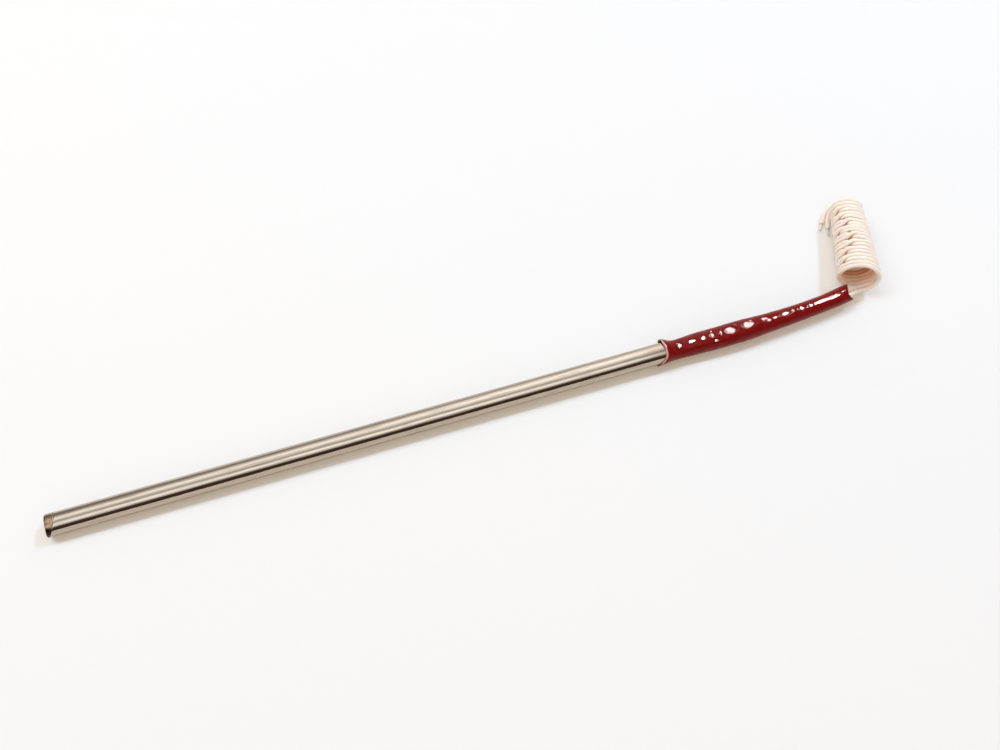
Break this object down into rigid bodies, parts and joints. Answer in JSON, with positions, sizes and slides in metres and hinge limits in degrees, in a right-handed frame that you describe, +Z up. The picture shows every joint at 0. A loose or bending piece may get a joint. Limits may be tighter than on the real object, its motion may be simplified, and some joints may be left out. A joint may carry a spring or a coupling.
{
  "type": "flame sensor probe",
  "caption": "Straight steel-sheathed flame sensor probe with a welded tip, a red heat-shrink sleeve over its lead splices and slim cream leads wound in a coil.",
  "frame": {"origin": "centre of the welded tip's flat end face, on the sheath's axis", "axes": "+X along the sheath from the tip toward the leads, +Z up with the probe lying down, +Y toward the side where the coiled leads lie"},
  "size_m": [0.2722, 0.0409, 0.0131],
  "materials": {
    "drawn_steel": "drawn stainless tube with fine lengthwise marks",
    "weld_steel": "welded end, brown heat tint",
    "element_alloy": "bare nickel-alloy wire",
    "white_ceramic": "matt fired ceramic",
    "sealing_cement": "rough cement",
    "tinned_brass": "tinned",
    "glass_sleeving": "woven glass tube",
    "red_heat_shrink": "glossy shrunk tube, uneven over the splices",
    "cream_insulation": "cream wire covering",
    "tinned_copper": "tinned strands"
  },
  "bodies": {
    "root": {"bare_end_negative": "tinned_copper", "bare_end_positive": "tinned_copper", "crimp_negative": "tinned_brass", "crimp_positive": "tinned_brass", "end_seal": "sealing_cement", "hot_junction": "element_alloy", "insulator_1": "white_ceramic", "insulator_2": "white_ceramic", "insulator_3": "white_ceramic", "insulator_4": "white_ceramic", "insulator_5": "white_ceramic", "insulator_6": "white_ceramic", "lead_coil_negative": "cream_insulation", "lead_coil_positive": "cream_insulation", "lead_root_negative": "cream_insulation", "lead_root_positive": "cream_insulation", "sheath_tube": "drawn_steel", "shrink_sleeve": "red_heat_shrink", "splice_sleeve_negative": "glass_sleeving", "splice_sleeve_positive": "glass_sleeving", "thermowire_negative": "element_alloy", "thermowire_positive": "element_alloy", "tip_plug": "weld_steel"}
  },
  "joints": []
}
